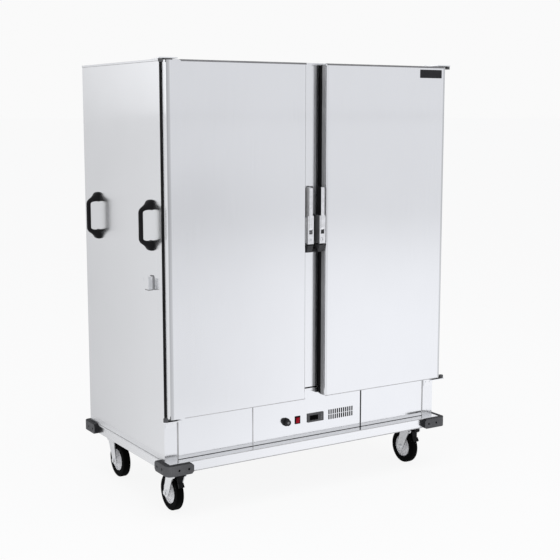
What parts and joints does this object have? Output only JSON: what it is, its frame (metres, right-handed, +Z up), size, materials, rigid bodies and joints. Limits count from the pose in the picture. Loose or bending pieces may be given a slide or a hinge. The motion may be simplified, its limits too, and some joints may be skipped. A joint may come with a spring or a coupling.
{
  "type": "heated banquet trolley",
  "caption": "Tall insulated stainless steel cabinet on swivel castors with two doors, lever latches, a warm-air unit in its base and runner racks inside.",
  "frame": {"origin": "on the floor, below the centre of the outer box over bumpers and push handles", "axes": "+Z up, the doors face -Y, +X to the right seen from the front"},
  "size_m": [1.462, 0.82, 1.7806],
  "materials": {
    "stainless": "satin",
    "liner": "satin",
    "chassis": "satin",
    "wool": "matte",
    "black_plastic": "satin",
    "grey_rubber": "matte",
    "black_rubber": "matte",
    "heater_metal": "oxidised",
    "cast_metal": "satin",
    "plated": "zinc plated",
    "lock_chrome": "polished",
    "button_plastic": "satin",
    "red_plastic": "gloss",
    "rim_plastic": "satin",
    "tyre": "matte"
  },
  "bodies": {
    "cabinet": {"chassis_frame": "chassis", "side_panel_left": "stainless", "side_panel_right": "stainless", "back_panel": "stainless", "top_cover": "stainless", "front_frame": "stainless", "bay_liner_left": "liner", "bay_liner_right": "liner", "air_duct": "liner", "insulation": "wool", "service_panels": "stainless", "control_panel": "stainless", "thermostat_case": "black_plastic", "rocker_bezel": "black_plastic", "dial_regulator": "black_plastic", "heating_element": "heater_metal", "blower_motor": "cast_metal", "rack_left": "liner", "rack_right": "liner", "corner_bumpers": "grey_rubber", "push_handles": "black_plastic", "latch_keeper": "black_plastic", "hinge_brackets": "chassis", "castor_plates": "plated"},
    "door_left": {"door_skin_left": "stainless", "door_pan_left": "liner", "door_gasket_left": "black_rubber", "hinge_leaves_left": "black_plastic", "latch_body_left": "cast_metal"},
    "lever_left": {"latch_lever_left": "cast_metal"},
    "bolt_left": {"latch_bolt_left": "black_plastic"},
    "lock_left": {"lock_left": "lock_chrome"},
    "door_right": {"door_skin_right": "stainless", "door_pan_right": "liner", "door_gasket_right": "black_rubber", "hinge_leaves_right": "black_plastic", "latch_body_right": "cast_metal"},
    "lever_right": {"latch_lever_right": "cast_metal"},
    "bolt_right": {"latch_bolt_right": "black_plastic"},
    "lock_right": {"lock_right": "lock_chrome"},
    "button_set": {"button_set": "button_plastic"},
    "button_up": {"button_up": "button_plastic"},
    "button_down": {"button_down": "button_plastic"},
    "rocker": {"rocker": "red_plastic"},
    "dial": {"dial_knob": "black_plastic"},
    "blower": {"blower_wheel": "cast_metal"},
    "castor_front_left": {"fork_front_left": "plated"},
    "wheel_front_left": {"rim_front_left": "rim_plastic", "tyre_front_left": "tyre"},
    "castor_front_right": {"fork_front_right": "plated"},
    "wheel_front_right": {"rim_front_right": "rim_plastic", "tyre_front_right": "tyre"},
    "castor_rear_left": {"fork_rear_left": "plated"},
    "wheel_rear_left": {"rim_rear_left": "rim_plastic", "tyre_rear_left": "tyre"},
    "castor_rear_right": {"fork_rear_right": "plated"},
    "wheel_rear_right": {"rim_rear_right": "rim_plastic", "tyre_rear_right": "tyre"},
    "pedal_left": {"pedal_left": "black_plastic"},
    "pedal_right": {"pedal_right": "black_plastic"}
  },
  "joints": [
    {"name": "door_left_swing", "type": "hinge", "parent": "cabinet", "child": "door_left", "pos_m": [-0.684, -0.384, 1], "axis": [0, 0, -1], "range_deg": [0, 235]},
    {"name": "lever_left_pull", "type": "hinge", "parent": "door_left", "child": "lever_left", "pos_m": [-0.0285, -0.3835, 1.117], "axis": [1, 0, 0], "range_deg": [0, 35]},
    {"name": "bolt_left_lift", "type": "slide", "parent": "door_left", "child": "bolt_left", "axis": [0, 0, 1], "range_m": [0, 0.005]},
    {"name": "lock_left_turn", "type": "hinge", "parent": "door_left", "child": "lock_left", "pos_m": [-0.0285, -0.398, 1.068], "axis": [0, -1, 0], "range_deg": [0, 90]},
    {"name": "door_right_swing", "type": "hinge", "parent": "cabinet", "child": "door_right", "pos_m": [0.684, -0.384, 1], "axis": [0, 0, 1], "range_deg": [0, 235]},
    {"name": "lever_right_pull", "type": "hinge", "parent": "door_right", "child": "lever_right", "pos_m": [0.0285, -0.3835, 1.117], "axis": [1, 0, 0], "range_deg": [0, 35]},
    {"name": "bolt_right_lift", "type": "slide", "parent": "door_right", "child": "bolt_right", "axis": [0, 0, 1], "range_m": [0, 0.005]},
    {"name": "lock_right_turn", "type": "hinge", "parent": "door_right", "child": "lock_right", "pos_m": [0.0285, -0.398, 1.068], "axis": [0, 1, 0], "range_deg": [0, 90]},
    {"name": "button_set_press", "type": "slide", "parent": "cabinet", "child": "button_set", "axis": [0, 1, 0], "range_m": [0, 0.001], "stiffness_N_per_m": 400, "springref_m": -0.001},
    {"name": "button_up_press", "type": "slide", "parent": "cabinet", "child": "button_up", "axis": [0, 1, 0], "range_m": [0, 0.001], "stiffness_N_per_m": 400, "springref_m": -0.001},
    {"name": "button_down_press", "type": "slide", "parent": "cabinet", "child": "button_down", "axis": [0, 1, 0], "range_m": [0, 0.001], "stiffness_N_per_m": 400, "springref_m": -0.001},
    {"name": "rocker_tilt", "type": "hinge", "parent": "cabinet", "child": "rocker", "pos_m": [-0.054, -0.339, 0.311], "axis": [1, 0, 0], "range_deg": [-18, 0]},
    {"name": "dial_turn", "type": "hinge", "parent": "cabinet", "child": "dial", "pos_m": [-0.112, -0.342, 0.311], "axis": [0, 1, 0], "range_deg": [0, 270]},
    {"name": "blower_spin", "type": "hinge", "parent": "cabinet", "child": "blower", "pos_m": [0, 0.013, 0.351], "axis": [0, 0, 1], "continuous": true},
    {"name": "castor_front_left_swivel", "type": "hinge", "parent": "cabinet", "child": "castor_front_left", "pos_m": [-0.593, -0.292, 0.171], "axis": [0, 0, 1], "continuous": true},
    {"name": "wheel_front_left_roll", "type": "hinge", "parent": "castor_front_left", "child": "wheel_front_left", "pos_m": [-0.593, -0.25, 0.075], "axis": [1, 0, 0], "continuous": true},
    {"name": "castor_front_right_swivel", "type": "hinge", "parent": "cabinet", "child": "castor_front_right", "pos_m": [0.593, -0.292, 0.171], "axis": [0, 0, 1], "continuous": true},
    {"name": "wheel_front_right_roll", "type": "hinge", "parent": "castor_front_right", "child": "wheel_front_right", "pos_m": [0.593, -0.25, 0.075], "axis": [1, 0, 0], "continuous": true},
    {"name": "castor_rear_left_swivel", "type": "hinge", "parent": "cabinet", "child": "castor_rear_left", "pos_m": [-0.593, 0.292, 0.171], "axis": [0, 0, 1], "continuous": true},
    {"name": "wheel_rear_left_roll", "type": "hinge", "parent": "castor_rear_left", "child": "wheel_rear_left", "pos_m": [-0.593, 0.25, 0.075], "axis": [1, 0, 0], "continuous": true},
    {"name": "castor_rear_right_swivel", "type": "hinge", "parent": "cabinet", "child": "castor_rear_right", "pos_m": [0.593, 0.292, 0.171], "axis": [0, 0, 1], "continuous": true},
    {"name": "wheel_rear_right_roll", "type": "hinge", "parent": "castor_rear_right", "child": "wheel_rear_right", "pos_m": [0.593, 0.25, 0.075], "axis": [1, 0, 0], "continuous": true},
    {"name": "pedal_left_press", "type": "hinge", "parent": "castor_front_left", "child": "pedal_left", "pos_m": [-0.593, -0.314, 0.159], "axis": [1, 0, 0], "range_deg": [0, 12]},
    {"name": "pedal_right_press", "type": "hinge", "parent": "castor_front_right", "child": "pedal_right", "pos_m": [0.593, -0.314, 0.159], "axis": [1, 0, 0], "range_deg": [0, 12]}
  ],
  "couplings": [
    {"joint": "bolt_left_lift", "follows": "lever_left_pull", "m_per_rad": 0.008},
    {"joint": "bolt_right_lift", "follows": "lever_right_pull", "m_per_rad": 0.008}
  ]
}
